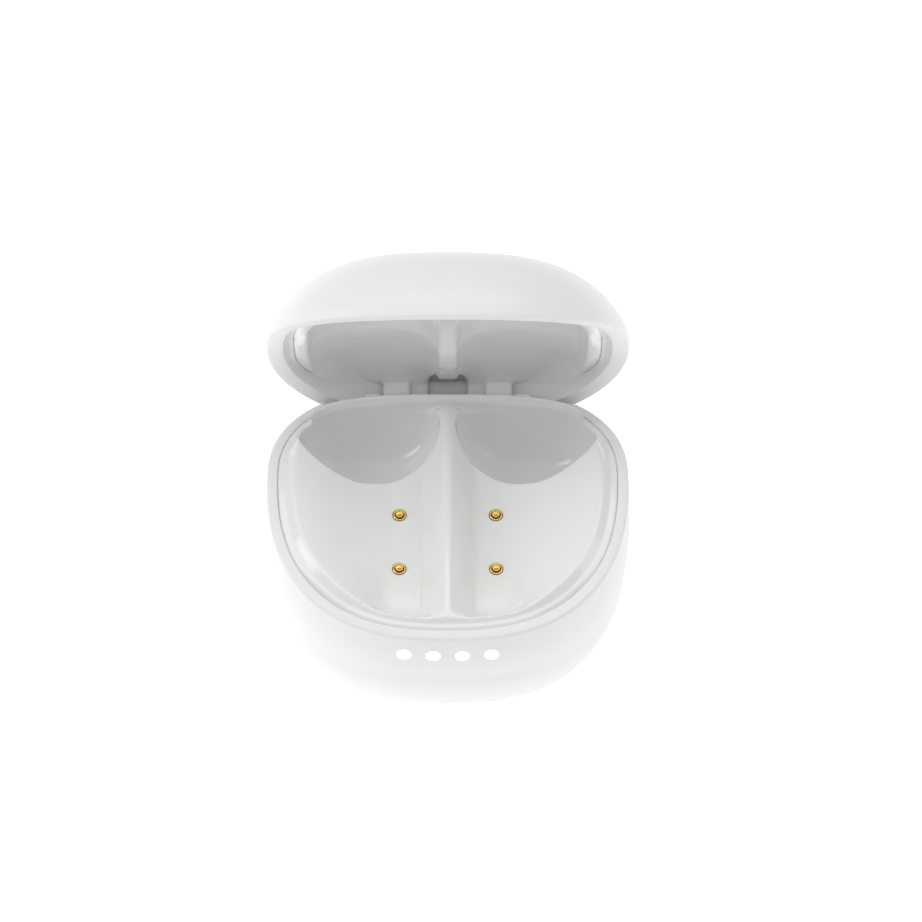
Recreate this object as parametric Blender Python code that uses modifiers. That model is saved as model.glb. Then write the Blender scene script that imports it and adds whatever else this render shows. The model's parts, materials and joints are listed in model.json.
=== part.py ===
"""Wireless earbuds case: a pebble shaped charging case with a lid on a rear hinge.

Run with: blender --background --python part.py
Lengths below are millimetres; MM turns them into metres. +Z is up, -Y is the front of the
case, X is the hinge direction. The origin is the centre of the flat resting face. The lid
stands open; its parts are modelled closed and turned by an empty on the hinge axis.
"""
import math

import bmesh
import bpy
from mathutils import Matrix, Vector

MM = 0.001
OBJECT_NAME = "earbuds_case"

# Outer shape: a superellipse plan, flatter at the back, with a rounded bottom.
HALF_WIDTH = 30.0
FRONT_REACH = 30.6
BACK_REACH = 24.1
FRONT_POWER = 2.55
BACK_POWER = 2.2
RING_POINTS = 40
BOTTOM_INSET = 9.06
BOTTOM_ROUND_HEIGHT = 15.7
BOTTOM_POWER = 1.8
SIDE_BULGE = 0.38

# Parting line: highest at the sides, lower at the front and back.
SIDE_RIM_HEIGHT = 31.1
FRONT_DIP = 5.05
BACK_DIP = 4.7
DIP_POWER = 1.6
LID_GAP = 0.3

# Lid.
LID_RISE = 9.3
LID_CROWN = 1.2
LID_INSET = 9.8
LID_POWER = 1.6
LID_STRAIGHT_DROP = 2.35
LID_OPEN = math.radians(69.7)

# Walls and gaps.
WALL = 1.8
LID_WALL = 1.8
TRAY_WALL = 1.2
GAP = 0.3

# Hinge.
HINGE_Y = 17.5
HINGE_Z = SIDE_RIM_HEIGHT - 2.2
KNUCKLE_RADIUS = 1.4
PIN_RADIUS = 0.5
PIN_CLEARANCE = 0.08
PIN_HALF_LENGTH = 14.2
LID_KNUCKLE = (6.3, 10.9)
TRAY_KNUCKLE_END = 14.0
TAIL_GAP = 0.3
TAIL_ROOM = 0.4
WELL_WALL = 1.1
WELL_TOP = 24.0
WELL_FRONT_Y = 14.5

# Tray.
TRAY_RISE = 0.7
TRAY_FRONT_DIP = 4.4
TRAY_INSET = WALL + GAP
TRAY_BACK_Y = 17.0
TRAY_BACK_POWER = 3.2
TRAY_SKIRT = 6.5
TRAY_TOP_THICKNESS = 2.0
LID_CLEARANCE = 0.05
POCKET_CENTRE = (13.0, 5.2, SIDE_RIM_HEIGHT + 2.0)
POCKET_RADII = (11.9, 10.2, 14.5)
CHANNEL_X = 8.3
CHANNEL_RADIUS = 4.7
CHANNEL_SLOPE = math.radians(8.0)
CHANNEL_FRONT_Y = -27.0

# Charging pins.
PIN_X = 8.0
PIN_ROW_REAR = (-4.6, SIDE_RIM_HEIGHT - 5.0)
PIN_PITCH = 10.3
BARREL_RADIUS = 1.08
BARREL_BORE = 0.76
BARREL_LENGTH = 3.6
BARREL_PROUD = 0.15
PLUNGER_RADIUS = 0.68
PLUNGER_STAND = 0.95
PIN_HOLE_GAP = 0.15
PIN_BOARD_DROP = 3.9
PIN_BOARD_THICKNESS = 0.8
PIN_NAMES = ("left_rear", "left_front", "right_rear", "right_front")

# Liner in the lid.
LINER_HALF_WIDTH = 25.5
LINER_FRONT = 26.1
LINER_BACK = 19.8
LINER_BACK_POWER = 3.0
LINER_RISE = 1.5
LINER_TOP = SIDE_RIM_HEIGHT + 5.9
RECESS_CENTRE = (12.4, 1.0, SIDE_RIM_HEIGHT - 0.6)
RECESS_RADII = (10.3, 18.0, 5.6)

# Light windows at the front.
LIGHT_XS = (-7.14, -2.38, 2.38, 7.14)
LIGHT_Z = SIDE_RIM_HEIGHT - 9.0
LIGHT_RADIUS = 1.16
LIGHT_BOARD_Y = -27.9

# Electronics.
BOARD_HALF_WIDTH = 20.0
BOARD_Y = (-18.0, 14.5)
BOARD_Z = (10.0, 11.0)
BATTERY_HALF_WIDTH = 15.0
BATTERY_Y = (-13.5, 10.5)
BATTERY_Z = (3.0, 8.8)
SCREW_POINTS = ((-17.6, -15.4), (17.6, -15.4), (-17.6, 9.5), (17.6, 9.5))
BOSS_RADIUS = 2.0
BOSS_FOOT = 1.6
USB_Z = (11.3, 14.6)
USB_HALF_WIDTH = 4.5
USB_Y = (15.2, 22.8)

# Magnets.
MAGNET_X = 17.0
MAGNET_Y = -16.5
MAGNET_SIZE = (4.4, 2.4, 1.8)
LID_MAGNET_Z = SIDE_RIM_HEIGHT + 2.2
BASE_MAGNET_Z = SIDE_RIM_HEIGHT - 7.0


# ---------------------------------------------------------------- outline and surface rules

def superellipse(angle, half_width, front, back, front_power, back_power):
    """Point of a superellipse whose front and back halves differ."""
    c, s = math.cos(angle), math.sin(angle)
    power = front_power if s < 0 else back_power
    reach = front if s < 0 else back
    x = math.copysign(half_width * abs(c) ** (2 / power), c)
    y = math.copysign(reach * abs(s) ** (2 / power), s)
    return x, y


def case_outline(inset, count=RING_POINTS):
    """Plan outline of the case, moved inward by inset."""
    points = []
    for i in range(count):
        angle = 2 * math.pi * (i + 0.5) / count
        points.append(superellipse(angle, HALF_WIDTH - inset, FRONT_REACH - inset,
                                   BACK_REACH - inset, FRONT_POWER, BACK_POWER))
    return points


def back_edge_y(x, inset=0.0):
    """Y of the case's back outline at x."""
    ratio = min(1.0, abs(x) / (HALF_WIDTH - inset))
    return (BACK_REACH - inset) * (1 - ratio ** BACK_POWER) ** (1 / BACK_POWER)


def parting_height(y):
    """Height of the parting line at y."""
    if y < 0:
        return SIDE_RIM_HEIGHT - FRONT_DIP * (-y / FRONT_REACH) ** DIP_POWER
    return SIDE_RIM_HEIGHT - BACK_DIP * (y / BACK_REACH) ** DIP_POWER


def tray_height(y):
    """Height of the tray's top surface at y."""
    if y < 0:
        return SIDE_RIM_HEIGHT + TRAY_RISE - TRAY_FRONT_DIP * (-y / 28.5) ** DIP_POWER
    return SIDE_RIM_HEIGHT + TRAY_RISE + 0.3 * y / TRAY_BACK_Y


def channel_floor(y):
    """Height of the stem channel's floor at y."""
    return PIN_ROW_REAR[1] + math.tan(CHANNEL_SLOPE) * (y - PIN_ROW_REAR[0])


def ring_at(outline, height):
    """3-D ring from an outline and a height, which is a number or a rule of y."""
    if callable(height):
        return [(x, y, height(y)) for x, y in outline]
    return [(x, y, height) for x, y in outline]


# ---------------------------------------------------------------- mesh helpers

def make_object(name, mesh):
    ob = bpy.data.objects.new(name, mesh)
    bpy.context.scene.collection.objects.link(ob)
    return ob


def from_bmesh(name, bm):
    bmesh.ops.recalc_face_normals(bm, faces=bm.faces)
    mesh = bpy.data.meshes.new(name)
    bm.to_mesh(mesh)
    bm.free()
    return make_object(name, mesh)


def loft(name, rings):
    """Closed solid through rings of equal point counts, with a flat cap at each end."""
    bm = bmesh.new()
    rows = [[bm.verts.new(Vector(p) * MM) for p in ring] for ring in rings]
    for lower, upper in zip(rows, rows[1:]):
        for i in range(len(lower)):
            j = (i + 1) % len(lower)
            bm.faces.new((lower[i], lower[j], upper[j], upper[i]))
    bm.faces.new(list(reversed(rows[0])))
    bm.faces.new(rows[-1])
    return from_bmesh(name, bm)


def prism(name, outline, low, high):
    return loft(name, [ring_at(outline, low), ring_at(outline, high)])


def slab_along_x(name, top, bottom, half_length=40.0, steps=28):
    """Solid between two height rules of y, as wide as the whole case and more."""
    ys = [-40.0 + 80.0 * i / steps for i in range(steps + 1)]
    section = [(y, top(y)) for y in ys] + [(y, bottom(y)) for y in reversed(ys)]
    rings = [[(x, y, z) for y, z in section] for x in (-half_length, half_length)]
    return loft(name, rings)


def box(name, xs, ys, zs):
    bm = bmesh.new()
    bmesh.ops.create_cube(bm, size=1.0)
    size = Vector((xs[1] - xs[0], ys[1] - ys[0], zs[1] - zs[0])) * MM
    centre = Vector((xs[0] + xs[1], ys[0] + ys[1], zs[0] + zs[1])) * (MM / 2)
    bmesh.ops.scale(bm, vec=size, verts=bm.verts)
    bmesh.ops.translate(bm, vec=centre, verts=bm.verts)
    return from_bmesh(name, bm)


def cylinder(name, start, direction, length, radius, sides=24, tip_radius=None):
    """Cylinder or cone from start along direction."""
    axis = Vector(direction).normalized()
    bm = bmesh.new()
    bmesh.ops.create_cone(bm, cap_ends=True, segments=sides, radius1=radius * MM,
                          radius2=(radius if tip_radius is None else tip_radius) * MM,
                          depth=length * MM)
    turn = Vector((0, 0, 1)).rotation_difference(axis).to_matrix().to_4x4()
    middle = (Vector(start) + axis * (length / 2)) * MM
    bmesh.ops.transform(bm, matrix=Matrix.Translation(middle) @ turn, verts=bm.verts)
    return from_bmesh(name, bm)


def cylinder_x(name, x0, x1, radius, sides=24, y=HINGE_Y, z=HINGE_Z):
    return cylinder(name, (x0, y, z), (1, 0, 0), x1 - x0, radius, sides)


def ellipsoid(name, centre, radii, segments=32, rings=16):
    bm = bmesh.new()
    bmesh.ops.create_uvsphere(bm, u_segments=segments, v_segments=rings, radius=1.0)
    bmesh.ops.scale(bm, vec=Vector(radii) * MM, verts=bm.verts)
    bmesh.ops.translate(bm, vec=Vector(centre) * MM, verts=bm.verts)
    return from_bmesh(name, bm)


def turned_about_hinge(name, profile, sides=40):
    """Solid of revolution about the hinge axis from (x, radius) pairs."""
    rings = []
    for x, radius in profile:
        ring = []
        for i in range(sides):
            angle = 2 * math.pi * i / sides
            ring.append((x, HINGE_Y + radius * math.cos(angle), HINGE_Z + radius * math.sin(angle)))
        rings.append(ring)
    return loft(name, rings)


def combine(target, tool, operation):
    """Boolean of the target with a tool, which is used up."""
    modifier = target.modifiers.new("combine", "BOOLEAN")
    modifier.operation = operation
    modifier.solver = "EXACT"
    modifier.object = tool
    depsgraph = bpy.context.evaluated_depsgraph_get()
    mesh = bpy.data.meshes.new_from_object(target.evaluated_get(depsgraph))
    target.modifiers.clear()
    old = target.data
    target.data = mesh
    bpy.data.meshes.remove(old)
    bpy.data.objects.remove(tool)
    return target


def cut(target, tool):
    return combine(target, tool, "DIFFERENCE")


def join(target, tool):
    return combine(target, tool, "UNION")


def finish(ob, name, material, edge_angle=35.0):
    """Name, material and smooth shading of a finished part."""
    ob.name = name
    ob.data.name = name
    ob.data.materials.clear()
    ob.data.materials.append(material)
    ob.data.shade_smooth()
    ob.data.set_sharp_from_angle(angle=math.radians(edge_angle))
    return ob


def material(name, colour, roughness, metallic=0.0):
    mat = bpy.data.materials.new(name)
    mat.use_nodes = True
    shader = mat.node_tree.nodes["Principled BSDF"]
    shader.inputs["Base Color"].default_value = (*colour, 1.0)
    shader.inputs["Roughness"].default_value = roughness
    shader.inputs["Metallic"].default_value = metallic
    return mat


# ---------------------------------------------------------------- shells

def bottom_round(steps, wall):
    """(inset, height) pairs of the rounded bottom, for the outer face or one wall inside it."""
    pairs = []
    for i in range(steps + 1):
        angle = 0.5 * math.pi * i / steps
        inset = wall + (BOTTOM_INSET - 0.35 * wall) * (1 - math.sin(angle) ** (2 / BOTTOM_POWER))
        rise = 1 - math.cos(angle) ** (2 / BOTTOM_POWER)
        pairs.append((inset, wall + (BOTTOM_ROUND_HEIGHT - wall) * rise))
    return pairs


def case_wall(wall, steps, top_offset=0.0):
    """Rings of the upright wall, from above the rounded bottom to the parting line."""
    rings = []
    for i in range(1, steps + 1):
        part = i / steps
        inset = wall - SIDE_BULGE * math.sin(math.pi * part)

        def height(y, part=part):
            top = parting_height(y) + top_offset
            return BOTTOM_ROUND_HEIGHT + part * (top - BOTTOM_ROUND_HEIGHT)
        rings.append(ring_at(case_outline(inset), height))
    return rings


def hinge_barrel(name, margin):
    """Space that the lid's tail turns in: each section reaches the crossing of the upright
    back wall and the same wall turned to the open position, plus a margin."""
    reach = 1 / math.cos(LID_OPEN / 2)
    profile = []
    steps = 14
    half = 21.0 + margin
    for i in range(steps + 1):
        x = -half + 2 * half * i / steps
        radius = max(0.0, back_edge_y(x, -SIDE_BULGE) - HINGE_Y) * reach + margin
        profile.append((x, radius))
    return turned_about_hinge(name, profile)


def hinge_well():
    """Block under the lid's tail; cutting the notch leaves a curved wall that hides the inside."""
    well = hinge_barrel("well", TAIL_ROOM + WELL_WALL)
    inside = prism("inside", case_outline(WALL - 0.3), 5.0, WELL_TOP)
    combine(well, inside, "INTERSECT")
    return cut(well, box("well_front", (-40, 40), (-40, WELL_FRONT_Y), (0, 60)))


def make_base_shell(white):
    rings = [ring_at(case_outline(inset), z) for inset, z in bottom_round(5, 0.0)]
    rings += case_wall(0.0, 4)
    rings += list(reversed(case_wall(WALL, 4)))
    rings += [ring_at(case_outline(inset), z) for inset, z in reversed(bottom_round(4, WALL))]
    shell = loft("base_shell", rings)
    for x, y in SCREW_POINTS:
        join(shell, cylinder("boss", (x, y, BOSS_FOOT), (0, 0, 1), BOARD_Z[0] - GAP - BOSS_FOOT,
                             BOSS_RADIUS, 20))
        cut(shell, cylinder("boss_hole", (x, y, 4.5), (0, 0, 1), 10.0, 0.8, 16))
    join(shell, hinge_well())
    cut(shell, hinge_barrel("notch", TAIL_ROOM))
    for x in LIGHT_XS:
        cut(shell, cylinder("light_hole", (x, -40.0, LIGHT_Z), (0, 1, 0), 14.0, LIGHT_RADIUS + 0.12, 24))
    cut(shell, usb_form("usb_hole", 0.3, (18.0, 30.0)))
    return finish(shell, "base_shell", white)


def lid_profile(wall, steps):
    """Rings of the lid from its rim to its crown, for the outer face or one wall inside it."""
    top = SIDE_RIM_HEIGHT + LID_RISE - wall
    rings = []

    def rim(y):
        return parting_height(y) + LID_GAP

    def shoulder_start(y):
        return max(rim(y) + 0.4, SIDE_RIM_HEIGHT - LID_STRAIGHT_DROP)
    rings.append(ring_at(case_outline(wall), rim))
    for i in range(steps + 1):
        angle = 0.5 * math.pi * i / steps
        inset = wall + (LID_INSET - 0.35 * wall) * (1 - math.cos(angle) ** (2 / LID_POWER))
        part = math.sin(angle) ** (2 / LID_POWER)
        crown = LID_CROWN * (1 - (1 - inset / HALF_WIDTH) ** 2)

        def height(y, part=part, crown=crown):
            low = shoulder_start(y)
            return low + part * (top - low) + crown
        rings.append(ring_at(case_outline(inset), height))
    for inset in (15.0, 20.0, 23.0):
        crown = LID_CROWN * (1 - (1 - inset / HALF_WIDTH) ** 2)
        rings.append(ring_at(case_outline(inset), top + crown))
    return rings


def lid_tail():
    """Part of the lid's back wall that hangs below the rim and turns inside the base."""
    inset = -SIDE_BULGE * 0.55
    wall_rings = []
    for side, low, high in ((inset, 20.0, 33.0), (inset + 1.5, 33.0, 20.0)):
        outline = case_outline(side)
        wall_rings.append(ring_at(outline, low))
        wall_rings.append(ring_at(outline, high))
    bm = bmesh.new()
    rows = [[bm.verts.new(Vector(p) * MM) for p in ring] for ring in wall_rings]
    for a, b in zip(rows, rows[1:] + rows[:1]):
        for i in range(len(a)):
            j = (i + 1) % len(a)
            bm.faces.new((a[i], a[j], b[j], b[i]))
    tail = from_bmesh("tail", bm)
    combine(tail, hinge_barrel("tail_limit", TAIL_ROOM - TAIL_GAP), "INTERSECT")
    cut(tail, slab_along_x("tail_top", lambda y: 60.0, lambda y: parting_height(y) + LID_GAP + 1.2))
    section = [(22.0, 0.0), (-22.0, 0.0)]
    for x in range(-22, 23, 2):
        reach = max(0.0, back_edge_y(x, -SIDE_BULGE) - HINGE_Y)
        section.append((x, HINGE_Z - math.tan(LID_OPEN / 2) * reach))
    cut(tail, loft("tail_edge", [[(x, y, z) for x, z in section] for y in (0.0, 40.0)]))
    cut(tail, box("tail_front", (-40, 40), (-40, HINGE_Y - 0.9), (0, 60)))
    return tail


def make_lid_shell(white):
    outer = lid_profile(0.0, 6)
    inner = lid_profile(LID_WALL, 5)
    shell = loft("lid_shell", list(reversed(outer)) + inner)
    join(shell, lid_tail())
    return finish(shell, "lid_shell", white)


# ---------------------------------------------------------------- tray

def tray_outline(inset):
    """Outline of the tray: the shell's inside, cut short at the back by the hinge space."""
    points = []
    for x, y in case_outline(TRAY_INSET + inset):
        ratio = min(1.0, abs(x) / (HALF_WIDTH - TRAY_INSET + 1.2 - inset))
        limit = (TRAY_BACK_Y - inset) * (1 - ratio ** TRAY_BACK_POWER) ** (1 / TRAY_BACK_POWER)
        points.append((x, min(y, limit)))
    return points


def channel_form(name, side, grow):
    """Stem channel: a round bottomed groove, open above, that falls towards the front."""
    radius = CHANNEL_RADIUS + grow
    front_y = CHANNEL_FRONT_Y + CHANNEL_RADIUS
    stations = [(2.0, 1.0), (-5.0, 1.0), (-12.0, 1.0), (front_y, 1.0)]
    for step in range(1, 7):
        angle = math.radians(14.4 * step)
        stations.append((front_y - radius * math.sin(angle), math.cos(angle)))
    rings = []
    for y, part in stations:
        centre_z = channel_floor(y) + CHANNEL_RADIUS
        ring = [(side * CHANNEL_X + radius * part, y, 45.0)]
        for i in range(15):
            angle = -math.pi * i / 14
            ring.append((side * CHANNEL_X + radius * part * math.cos(angle), y,
                         centre_z + radius * part * math.sin(angle)))
        ring.append((side * CHANNEL_X - radius * part, y, 45.0))
        rings.append(ring)
    return loft(name, rings)


def pocket_form(name, side, grow):
    x, y, z = POCKET_CENTRE
    radii = [r + grow for r in POCKET_RADII]
    return ellipsoid(name, (side * x, y, z), radii, 28, 14)


def make_tray(gloss_white):
    tray = prism("tray", tray_outline(0.0), SIDE_RIM_HEIGHT - TRAY_SKIRT, 45.0)
    core = prism("core", tray_outline(TRAY_WALL + 0.2), 0.0, 50.0)
    cut(core, slab_along_x("core_top", lambda y: 60.0, lambda y: tray_height(y) - TRAY_TOP_THICKNESS))
    cut(tray, core)
    cut(tray, box("tail_room", (-23.0, 23.0), (13.2, 40.0), (0.0, HINGE_Z - 1.6)))
    for side in (-1, 1):
        join(tray, pocket_form("bowl", side, TRAY_WALL))
        join(tray, channel_form("trough", side, TRAY_WALL))
    cut(tray, slab_along_x("sky", lambda y: 70.0, tray_height))
    inset = TRAY_INSET + LID_CLEARANCE
    lid_room = loft("lid_room", [ring_at(case_outline(inset), -5.0)] + lid_profile(inset, 5)[1:])
    combine(tray, lid_room, "INTERSECT")
    join(tray, cylinder_x("knuckle", -TRAY_KNUCKLE_END, TRAY_KNUCKLE_END, KNUCKLE_RADIUS, 20))
    for side in (-1, 1):
        cut(tray, pocket_form("pocket", side, 0.0))
        cut(tray, channel_form("channel", side, 0.0))
        low, high = sorted((side * (LID_KNUCKLE[0] - GAP), side * (LID_KNUCKLE[1] + GAP)))
        cut(tray, cylinder_x("knuckle_room", low, high, KNUCKLE_RADIUS + GAP, 24))
    cut(tray, cylinder_x("pin_bore", -20.0, 20.0, PIN_RADIUS + PIN_CLEARANCE, 16))
    for start, axis in pin_axes():
        cut(tray, cylinder("pin_hole", Vector(start) - Vector(axis) * 4.0, axis, 8.0,
                           BARREL_RADIUS + PIN_HOLE_GAP, 20))
    return finish(tray, "tray", gloss_white)


# ---------------------------------------------------------------- lid liner

def liner_outline(inset):
    points = []
    for i in range(RING_POINTS):
        angle = 2 * math.pi * (i + 0.5) / RING_POINTS
        points.append(superellipse(angle, LINER_HALF_WIDTH - inset, LINER_FRONT - inset,
                                   LINER_BACK - inset, FRONT_POWER, LINER_BACK_POWER))
    return points


def liner_face(y):
    """Height of the liner's lower face, clear of the parting line and of the tray."""
    return max(parting_height(y) + LINER_RISE, tray_height(y) + 0.4)


def lid_knuckle(side):
    """Eye on the hinge pin with an arm that reaches back to the liner's skirt."""
    section = []
    for i in range(17):
        angle = math.radians(84.0 + (334.0 - 84.0) * i / 16)
        section.append((HINGE_Y + KNUCKLE_RADIUS * math.cos(angle),
                        HINGE_Z + KNUCKLE_RADIUS * math.sin(angle)))
    section += [(19.4, section[-1][1]), (19.4, HINGE_Z + 2.4), (section[0][0], HINGE_Z + 2.4)]
    ends = sorted((side * LID_KNUCKLE[0], side * LID_KNUCKLE[1]))
    return loft("lid_knuckle", [[(x, y, z) for y, z in section] for x in ends])


def make_liner(gloss_white):
    levels = ((0.0, 20.0), (0.0, SIDE_RIM_HEIGHT + 1.6), (1.6, SIDE_RIM_HEIGHT + 3.6),
              (3.6, SIDE_RIM_HEIGHT + 5.0), (6.4, LINER_TOP))
    liner = loft("lid_liner", [ring_at(liner_outline(inset), z) for inset, z in levels])
    cut(liner, slab_along_x("liner_face", liner_face, lambda y: 0.0))
    join(liner, box("skirt", (-13.0, 13.0), (18.9, 20.1), (HINGE_Z - GAP, SIDE_RIM_HEIGHT + 1.5)))
    inside = lid_profile(LID_WALL + GAP, 5)
    room = loft("room", [ring_at(case_outline(LID_WALL + GAP), 10.0)] + inside[1:])
    combine(liner, room, "INTERSECT")
    for side in (-1, 1):
        x, y, z = RECESS_CENTRE
        cut(liner, ellipsoid("recess", (side * x, y, z), RECESS_RADII, 32, 16))
        join(liner, lid_knuckle(side))
        cut(liner, magnet_form("magnet_room", side, LID_MAGNET_Z, 0.3, 6.0))
    cut(liner, cylinder_x("lid_pin_bore", -20.0, 20.0, PIN_RADIUS + PIN_CLEARANCE, 16))
    return finish(liner, "lid_liner", gloss_white)


# ---------------------------------------------------------------- small parts

def magnet_form(name, side, z, grow, extra=0.0):
    half_x, half_y = MAGNET_SIZE[0] / 2 + grow, MAGNET_SIZE[1] / 2 + grow
    return box(name, (side * MAGNET_X - half_x, side * MAGNET_X + half_x),
               (MAGNET_Y - half_y, MAGNET_Y + half_y), (z - grow, z + MAGNET_SIZE[2] + grow + extra))


def pin_axes():
    """Centre on the channel floor and outward axis of each charging pin."""
    outward = Vector((0, -math.sin(CHANNEL_SLOPE), math.cos(CHANNEL_SLOPE)))
    along = Vector((0, -math.cos(CHANNEL_SLOPE), -math.sin(CHANNEL_SLOPE)))
    pins = []
    for side in (-1, 1):
        for step in (0, 1):
            start = Vector((side * PIN_X, PIN_ROW_REAR[0], PIN_ROW_REAR[1])) + along * (PIN_PITCH * step)
            pins.append((start, outward))
    return pins


def make_pins(gold, steel):
    for tag, (point, axis) in zip(PIN_NAMES, pin_axes()):
        barrel = cylinder("barrel", point - axis * BARREL_LENGTH, axis, BARREL_LENGTH + BARREL_PROUD,
                          BARREL_RADIUS, 20)
        cut(barrel, cylinder("bore", point - axis * (BARREL_LENGTH - 0.5), axis, 9.0, BARREL_BORE, 16))
        finish(barrel, "pin_barrel_" + tag, gold)
        plunger = cylinder("plunger", point - axis * 1.4, axis, 1.4 + PLUNGER_STAND - 0.35,
                           PLUNGER_RADIUS, 16)
        cap = cylinder("cap", point + axis * (PLUNGER_STAND - 0.36), axis, 0.36, PLUNGER_RADIUS, 16, 0.3)
        join(plunger, cap)
        place_on_axis(finish(plunger, "pin_plunger_" + tag, gold), point)
        make_coil("pin_spring_" + tag, point - axis * 2.95, axis, 1.3, 0.48, 0.09, 4, steel)


def place_on_axis(ob, point):
    """Move the object's origin to a point, leaving its mesh where it is."""
    offset = Vector(point) * MM
    ob.data.transform(Matrix.Translation(-offset))
    ob.location = offset


def make_coil(name, start, axis, height, radius, wire, turns, mat):
    """Helical spring around an axis."""
    axis = Vector(axis).normalized()
    side_a = axis.orthogonal().normalized()
    side_b = axis.cross(side_a)
    per_turn = 8
    total = turns * per_turn
    points = []
    for i in range(total + 1):
        angle = 2 * math.pi * i / per_turn
        points.append(Vector(start) + axis * (height * i / total)
                      + side_a * (radius * math.cos(angle)) + side_b * (radius * math.sin(angle)))
    return make_tube(name, points, wire, mat, 0)


def make_tube(name, points, radius, mat, resolution=2):
    """Round wire through the points, turned into a closed mesh."""
    curve = bpy.data.curves.new(name, "CURVE")
    curve.dimensions = "3D"
    curve.bevel_depth = radius * MM
    curve.bevel_resolution = resolution
    curve.use_fill_caps = True
    spline = curve.splines.new("POLY")
    spline.points.add(len(points) - 1)
    for knot, point in zip(spline.points, points):
        knot.co = (*(Vector(point) * MM), 1.0)
    source = make_object(name + "_path", curve)
    depsgraph = bpy.context.evaluated_depsgraph_get()
    mesh = bpy.data.meshes.new_from_object(source.evaluated_get(depsgraph))
    bpy.data.objects.remove(source)
    bm = bmesh.new()
    bm.from_mesh(mesh)
    bmesh.ops.remove_doubles(bm, verts=bm.verts, dist=0.000001)
    bpy.data.meshes.remove(mesh)
    return finish(from_bmesh(name, bm), name, mat, 60.0)


def make_hinge(steel):
    finish(cylinder_x("hinge_pin", -PIN_HALF_LENGTH, PIN_HALF_LENGTH, PIN_RADIUS, 16), "hinge_pin", steel)


def make_pin_board(green):
    outward = pin_axes()[0][1]
    along = Vector((0, -math.cos(CHANNEL_SLOPE), -math.sin(CHANNEL_SLOPE)))
    top = Vector((0, *PIN_ROW_REAR)) - outward * PIN_BOARD_DROP
    corners = []
    for distance in (-1.0, PIN_PITCH + 2.6):
        for drop in (0.0, PIN_BOARD_THICKNESS):
            corners.append(top + along * distance - outward * drop)
    order = (0, 1, 3, 2)
    rings = [[(x, corners[k].y, corners[k].z) for k in order] for x in (-11.0, 11.0)]
    finish(loft("pin_board", rings), "pin_board", green)


def make_lights(clear, board_green, light_yellow, black):
    for index, x in enumerate(LIGHT_XS, start=1):
        face = -superellipse_front(x) - 0.02
        guide = cylinder("guide", (x, face, LIGHT_Z), (0, 1, 0), 2.1, LIGHT_RADIUS, 24)
        finish(guide, "light_guide_%d" % index, clear)
        led = box("led", (x - 0.8, x + 0.8), (LIGHT_BOARD_Y - 0.65, LIGHT_BOARD_Y - 0.05),
                  (LIGHT_Z - 0.5, LIGHT_Z + 0.5))
        finish(led, "led_%d" % index, light_yellow)
    board = box("light_board", (-10.5, 10.5), (LIGHT_BOARD_Y + 0.05, LIGHT_BOARD_Y + 0.65),
                (LIGHT_Z - 2.4, LIGHT_Z + 1.3))
    finish(board, "light_board", board_green)
    sensor = box("lid_sensor", (-1.1, 1.1), (LIGHT_BOARD_Y + 0.75, LIGHT_BOARD_Y + 1.55),
                 (LIGHT_Z - 1.8, LIGHT_Z - 0.4))
    finish(sensor, "lid_sensor", black)


def superellipse_front(x):
    """Distance of the front face from the middle at x, at the height of the lights."""
    ratio = abs(x) / (HALF_WIDTH + SIDE_BULGE)
    return (FRONT_REACH + SIDE_BULGE) * (1 - ratio ** FRONT_POWER) ** (1 / FRONT_POWER)


def usb_form(name, grow, ys):
    """Flat tube form of a USB-C socket."""
    half_height = (USB_Z[1] - USB_Z[0]) / 2 + grow
    middle = (USB_Z[0] + USB_Z[1]) / 2
    reach = USB_HALF_WIDTH + grow - half_height
    section = []
    for side, start in ((1, -90.0), (-1, 90.0)):
        for i in range(9):
            angle = math.radians(start + 180.0 * i / 8)
            section.append((side * reach + half_height * math.cos(angle),
                            middle + half_height * math.sin(angle)))
    return loft(name, [[(x, y, z) for x, z in section] for y in ys])


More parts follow.
